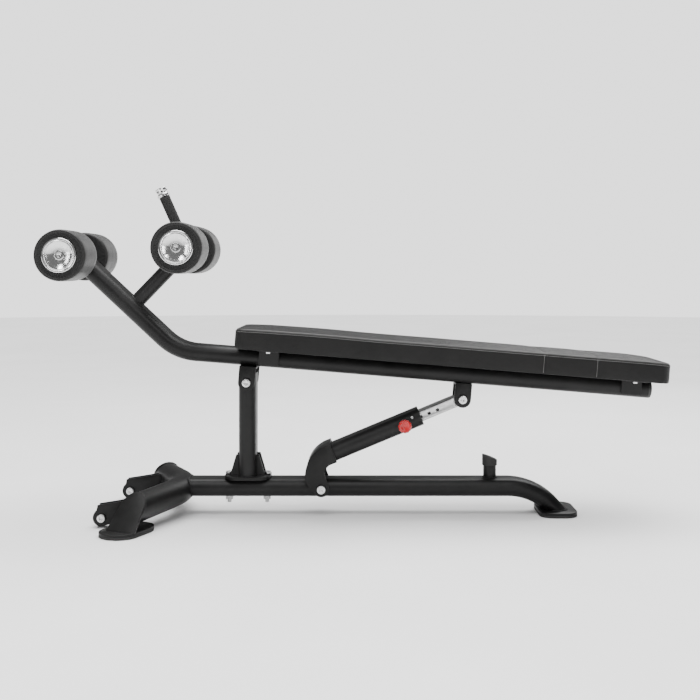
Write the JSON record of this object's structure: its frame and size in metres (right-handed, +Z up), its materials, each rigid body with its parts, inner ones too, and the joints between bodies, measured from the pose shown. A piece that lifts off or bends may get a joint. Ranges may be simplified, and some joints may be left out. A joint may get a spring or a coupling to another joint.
{
  "type": "adjustable weight bench",
  "caption": "Adjustable decline bench: long padded seat on a tilting flat-oval frame with a telescopic pin-locked strut, foot and knee rollers on an arm, and transport wheels.",
  "frame": {"origin": "on the floor under the middle of the bench's bounding box", "axes": "+X along the bench to the head end of the pad, +Y to the lying person's right hand, +Z up"},
  "size_m": [1.7725, 0.6684, 0.9532],
  "materials": {
    "frame_black": "fine-textured satin black powder coat",
    "rubber_black": "matt black rubber",
    "plastic_black": "moulded black plastic",
    "zinc_steel": "bright zinc-plated steel",
    "plated_steel": "satin chrome-plated steel",
    "polished_aluminium": "turned and polished aluminium",
    "bush_bronze": "sintered bronze",
    "roller_foam": "dense black foam with a soft smooth skin",
    "pad_vinyl": "grained black vinyl with sewn seams",
    "pad_board_wood": "plywood",
    "knob_red": "moulded red plastic"
  },
  "bodies": {
    "base": {"base_tube": "frame_black", "front_cross_tube": "frame_black", "front_end_plate_left": "frame_black", "front_end_plate_right": "frame_black", "front_foot_plate_left": "frame_black", "front_foot_plate_right": "frame_black", "front_foot_pad_left": "rubber_black", "front_foot_pad_right": "rubber_black", "rear_foot_plate": "frame_black", "rear_foot_pad": "rubber_black", "upright_post": "frame_black", "post_flange": "frame_black", "flange_bolt_front": "zinc_steel", "flange_bolt_rear": "zinc_steel", "main_pivot_bush": "bush_bronze", "stop_post": "frame_black", "stop_cap": "rubber_black", "wheel_bracket_left": "frame_black", "wheel_bracket_right": "frame_black", "wheel_bolt_left": "zinc_steel", "wheel_bolt_right": "zinc_steel"},
    "seat": {"seat_tube": "frame_black", "seat_tube_cap": "plastic_black", "arm_cap": "plastic_black", "main_clevis": "frame_black", "main_pivot_bolt": "zinc_steel", "strut_clevis": "frame_black", "strut_top_bolt": "zinc_steel", "pad_bracket_front": "frame_black", "pad_bracket_rear": "frame_black", "pad_board": "pad_board_wood", "pad": "pad_vinyl", "branch_tube": "frame_black", "knee_hub": "frame_black", "foot_hub": "frame_black", "foot_axle": "zinc_steel", "knee_axle": "zinc_steel", "handle_tube": "frame_black", "handle_grip": "rubber_black", "handle_cap": "polished_aluminium"},
    "strut_inner": {"strut_inner_tube": "plated_steel", "strut_top_bush": "bush_bronze"},
    "strut_outer": {"strut_outer_tube": "frame_black", "strut_bracket": "frame_black", "strut_foot_bolt": "zinc_steel", "strut_guide": "plastic_black", "pin_housing": "zinc_steel"},
    "pin": {"pull_pin": "zinc_steel", "pull_knob": "knob_red", "pin_spring": "zinc_steel"},
    "wheel_left": {"transport_wheel_left": "plastic_black"},
    "wheel_right": {"transport_wheel_right": "plastic_black"},
    "foot_roller_left": {"foot_roller_foam_left": "roller_foam", "foot_roller_hub_left": "polished_aluminium"},
    "foot_roller_right": {"foot_roller_foam_right": "roller_foam", "foot_roller_hub_right": "polished_aluminium"},
    "knee_roller_left": {"knee_roller_foam_left": "roller_foam", "knee_roller_hub_left": "polished_aluminium"},
    "knee_roller_right": {"knee_roller_foam_right": "roller_foam", "knee_roller_hub_right": "polished_aluminium"}
  },
  "joints": [
    {"name": "seat_tilt", "type": "hinge", "parent": "base", "child": "seat", "pos_m": [-0.319, 0, 0.384], "axis": [0, 1, 0], "range_deg": [0, 16]},
    {"name": "strut_swivel", "type": "hinge", "parent": "seat", "child": "strut_inner", "pos_m": [0.30394, 0, 0.33333], "axis": [0, 1, 0], "range_deg": [0, 5.1]},
    {"name": "strut_slide", "type": "slide", "parent": "strut_inner", "child": "strut_outer", "axis": [0.9237, 0, 0.3832], "range_m": [0, 0.105]},
    {"name": "pin_pull", "type": "slide", "parent": "strut_outer", "child": "pin", "axis": [0, -1, 0], "range_m": [0, 0.008], "stiffness_N_per_m": 500, "springref_m": -0.006},
    {"name": "wheel_left_spin", "type": "hinge", "parent": "base", "child": "wheel_left", "pos_m": [-0.701, -0.18, 0.028], "axis": [0, 1, 0], "continuous": true},
    {"name": "wheel_right_spin", "type": "hinge", "parent": "base", "child": "wheel_right", "pos_m": [-0.701, 0.18, 0.028], "axis": [0, 1, 0], "continuous": true},
    {"name": "foot_roller_left_spin", "type": "hinge", "parent": "seat", "child": "foot_roller_left", "pos_m": [-0.81711, -0.128, 0.74799], "axis": [0, 1, 0], "continuous": true},
    {"name": "foot_roller_right_spin", "type": "hinge", "parent": "seat", "child": "foot_roller_right", "pos_m": [-0.81711, 0.128, 0.74799], "axis": [0, 1, 0], "continuous": true},
    {"name": "knee_roller_left_spin", "type": "hinge", "parent": "seat", "child": "knee_roller_left", "pos_m": [-0.49705, -0.128, 0.76901], "axis": [0, 1, 0], "continuous": true},
    {"name": "knee_roller_right_spin", "type": "hinge", "parent": "seat", "child": "knee_roller_right", "pos_m": [-0.49705, 0.128, 0.76901], "axis": [0, 1, 0], "continuous": true}
  ],
  "couplings": [
    {"joint": "strut_swivel", "follows": "seat_tilt", "ratio": 0.314},
    {"joint": "strut_slide", "follows": "seat_tilt", "m_per_rad": 0.3735}
  ]
}
